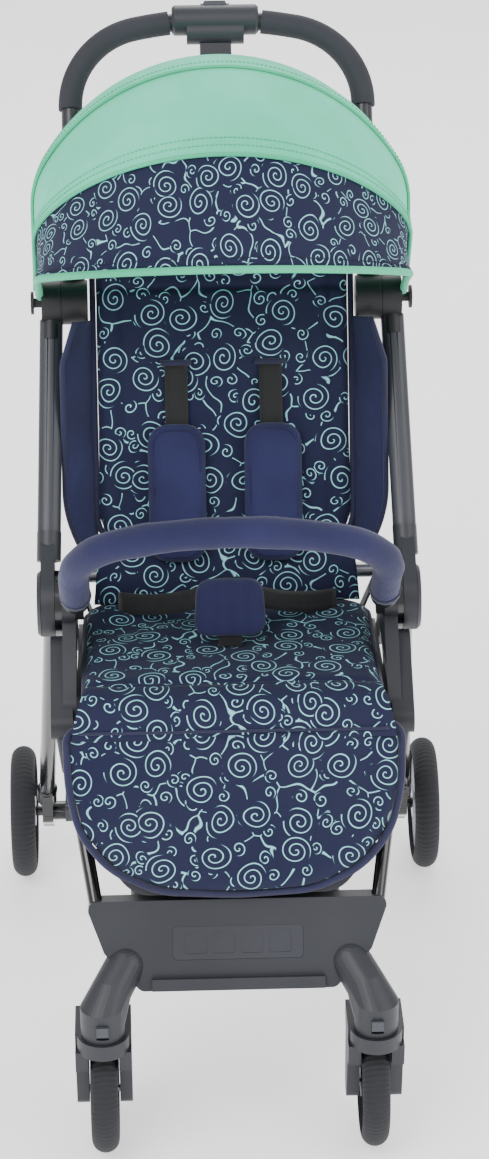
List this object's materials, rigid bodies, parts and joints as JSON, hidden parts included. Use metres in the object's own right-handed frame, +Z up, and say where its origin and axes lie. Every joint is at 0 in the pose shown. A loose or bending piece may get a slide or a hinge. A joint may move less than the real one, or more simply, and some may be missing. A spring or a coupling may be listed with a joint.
{
  "type": "baby stroller",
  "caption": "Compact folding baby stroller with swivelling front casters, reclining padded seat, leg rest, bumper bar, fold-away canopy and an arched handle.",
  "frame": {"origin": "middle of the plan outline, on the ground under the wheels", "axes": "+X across the stroller, -Y towards its front, +Z up"},
  "size_m": [0.488, 0.6956, 1.0093],
  "materials": {
    "plastic_dark": "satin",
    "plastic_mid": "satin",
    "joint_black": "satin",
    "frame_black": "gloss",
    "frame_grey": "satin",
    "handle_metal": "satin",
    "grip_foam": "matte foam",
    "steel": "brushed",
    "mint_fabric": "plain weave",
    "mint_trim": "piping",
    "print_fabric": "printed weave",
    "navy_fabric": "plain weave",
    "webbing_black": "webbing",
    "basket_fabric": "woven",
    "tyre_grey": "matte",
    "rim_pale": "gloss",
    "rim_dark": "satin",
    "button_grey": "satin"
  },
  "bodies": {
    "root": {"hinge_housings": "plastic_dark", "pivot_pins": "steel", "pivot_caps": "plastic_dark", "front_tubes": "frame_black", "footboard": "plastic_dark", "footboard_insert": "plastic_mid", "front_arm_left": "plastic_dark", "front_arm_right": "plastic_dark", "seat_frame": "plastic_dark", "seat_pad": "print_fabric", "basket": "basket_fabric", "basket_frame": "frame_black", "basket_straps": "webbing_black", "waist_straps": "webbing_black"},
    "upper_frame": {"upper_hubs": "plastic_dark", "side_tubes": "frame_grey", "canopy_joints": "joint_black", "canopy_pins": "joint_black"},
    "handle": {"handle_hubs": "joint_black", "handle_tube": "handle_metal", "handle_grips": "grip_foam", "handle_block": "plastic_mid", "handle_tongue": "handle_metal", "canopy_rear": "mint_fabric"},
    "release_button": {"release_button": "button_grey"},
    "canopy_mid": {"canopy_mid_hoop": "mint_trim", "canopy_top": "mint_fabric"},
    "canopy_front": {"canopy_front_hoop": "mint_trim", "canopy_front_panel": "print_fabric"},
    "rear_frame": {"rear_leg_left": "frame_black", "rear_leg_right": "frame_black", "rear_brackets": "frame_black", "rear_axle": "frame_black"},
    "brake": {"brake_pedal": "plastic_dark"},
    "rear_wheel_left": {"rear_tyre_left": "tyre_grey", "rear_rim_left": "rim_pale"},
    "rear_wheel_right": {"rear_tyre_right": "tyre_grey", "rear_rim_right": "rim_pale"},
    "caster_left": {"caster_fork_left": "plastic_dark", "front_axle_left": "steel"},
    "caster_right": {"caster_fork_right": "plastic_dark", "front_axle_right": "steel"},
    "front_wheel_left": {"front_tyre_left": "tyre_grey", "front_rim_left": "rim_dark"},
    "front_wheel_right": {"front_tyre_right": "tyre_grey", "front_rim_right": "rim_dark"},
    "lock_left": {"caster_lock_left": "button_grey"},
    "lock_right": {"caster_lock_right": "button_grey"},
    "back_support": {"back_hinge_bar": "steel"},
    "seat_back": {"seat_back_frame": "plastic_dark", "seat_back_pad": "print_fabric", "side_wings": "navy_fabric", "shoulder_harness": "navy_fabric"},
    "leg_rest": {"leg_rest_board": "plastic_dark", "leg_rest_pad": "print_fabric"},
    "bumper": {"bumper_bar": "navy_fabric", "bumper_ends": "joint_black"},
    "crotch": {"crotch_pad": "navy_fabric", "buckle": "webbing_black"},
    "buckle_button": {"buckle_button": "button_grey"}
  },
  "joints": [
    {"name": "fold", "type": "hinge", "parent": "root", "child": "upper_frame", "pos_m": [0, -0.03282, 0.489], "axis": [1, 0, 0], "range_deg": [0, 118], "deforming": ["waist_straps", "side_wings", "shoulder_harness"]},
    {"name": "rear_fold", "type": "hinge", "parent": "root", "child": "rear_frame", "pos_m": [0, -0.03282, 0.489], "axis": [1, 0, 0], "range_deg": [-50, 0]},
    {"name": "handle_fold", "type": "hinge", "parent": "upper_frame", "child": "handle", "pos_m": [0, 0.15292, 0.74465], "axis": [1, 0, 0], "range_deg": [-165, 0]},
    {"name": "back_fold", "type": "hinge", "parent": "root", "child": "back_support", "pos_m": [0, 0.06918, 0.47], "axis": [1, 0, 0], "range_deg": [0, 85]},
    {"name": "bumper_fold", "type": "hinge", "parent": "root", "child": "bumper", "pos_m": [0, -0.07782, 0.505], "axis": [1, 0, 0], "range_deg": [0, 50]},
    {"name": "crotch_fold", "type": "hinge", "parent": "root", "child": "crotch", "pos_m": [0, -0.09308, 0.46295], "axis": [1, 0, 0], "range_deg": [0, 85]},
    {"name": "canopy", "type": "hinge", "parent": "handle", "child": "canopy_front", "pos_m": [0, 0.15292, 0.74465], "axis": [-1, 0, 0], "range_deg": [0, 56]},
    {"name": "canopy_mid_fold", "type": "hinge", "parent": "handle", "child": "canopy_mid", "pos_m": [0, 0.15292, 0.74465], "axis": [-1, 0, 0], "range_deg": [0, 28]},
    {"name": "recline", "type": "hinge", "parent": "back_support", "child": "seat_back", "pos_m": [0, 0.06918, 0.47], "axis": [1, 0, 0], "range_deg": [-45, 0]},
    {"name": "leg_rest", "type": "hinge", "parent": "root", "child": "leg_rest", "pos_m": [0, -0.17439, 0.43147], "axis": [1, 0, 0], "range_deg": [-60, 0]},
    {"name": "brake", "type": "hinge", "parent": "rear_frame", "child": "brake", "pos_m": [0, 0.22318, 0.089], "axis": [1, 0, 0], "range_deg": [-18, 0]},
    {"name": "release_button", "type": "slide", "parent": "handle", "child": "release_button", "axis": [0, 0.5878, 0.809], "range_m": [-0.003, 0], "stiffness_N_per_m": 400},
    {"name": "caster_left", "type": "hinge", "parent": "root", "child": "caster_left", "pos_m": [-0.136, -0.31082, 0.16], "axis": [0, 0, 1], "continuous": true},
    {"name": "caster_right", "type": "hinge", "parent": "root", "child": "caster_right", "pos_m": [0.136, -0.31082, 0.16], "axis": [0, 0, 1], "continuous": true},
    {"name": "front_wheel_left", "type": "hinge", "parent": "caster_left", "child": "front_wheel_left", "pos_m": [-0.136, -0.28282, 0.065], "axis": [1, 0, 0], "continuous": true},
    {"name": "front_wheel_right", "type": "hinge", "parent": "caster_right", "child": "front_wheel_right", "pos_m": [0.136, -0.28282, 0.065], "axis": [1, 0, 0], "continuous": true},
    {"name": "caster_lock_left", "type": "slide", "parent": "root", "child": "lock_left", "axis": [0, 0, 1], "range_m": [-0.004, 0]},
    {"name": "caster_lock_right", "type": "slide", "parent": "root", "child": "lock_right", "axis": [0, 0, 1], "range_m": [-0.004, 0]},
    {"name": "rear_wheel_left", "type": "hinge", "parent": "rear_frame", "child": "rear_wheel_left", "pos_m": [-0.23, 0.25718, 0.075], "axis": [1, 0, 0], "continuous": true},
    {"name": "rear_wheel_right", "type": "hinge", "parent": "rear_frame", "child": "rear_wheel_right", "pos_m": [0.23, 0.25718, 0.075], "axis": [1, 0, 0], "continuous": true},
    {"name": "buckle_button", "type": "slide", "parent": "crotch", "child": "buckle_button", "axis": [0, -0.9781, 0.2079], "range_m": [0, 0.0018], "stiffness_N_per_m": 400}
  ],
  "couplings": [
    {"joint": "rear_fold", "follows": "fold", "ratio": -0.42373},
    {"joint": "handle_fold", "follows": "fold", "ratio": -1.3983},
    {"joint": "back_fold", "follows": "fold", "ratio": 0.72034},
    {"joint": "bumper_fold", "follows": "fold", "ratio": 0.42373},
    {"joint": "crotch_fold", "follows": "fold", "ratio": 0.72034},
    {"joint": "canopy_mid_fold", "follows": "canopy", "ratio": 0.5}
  ]
}
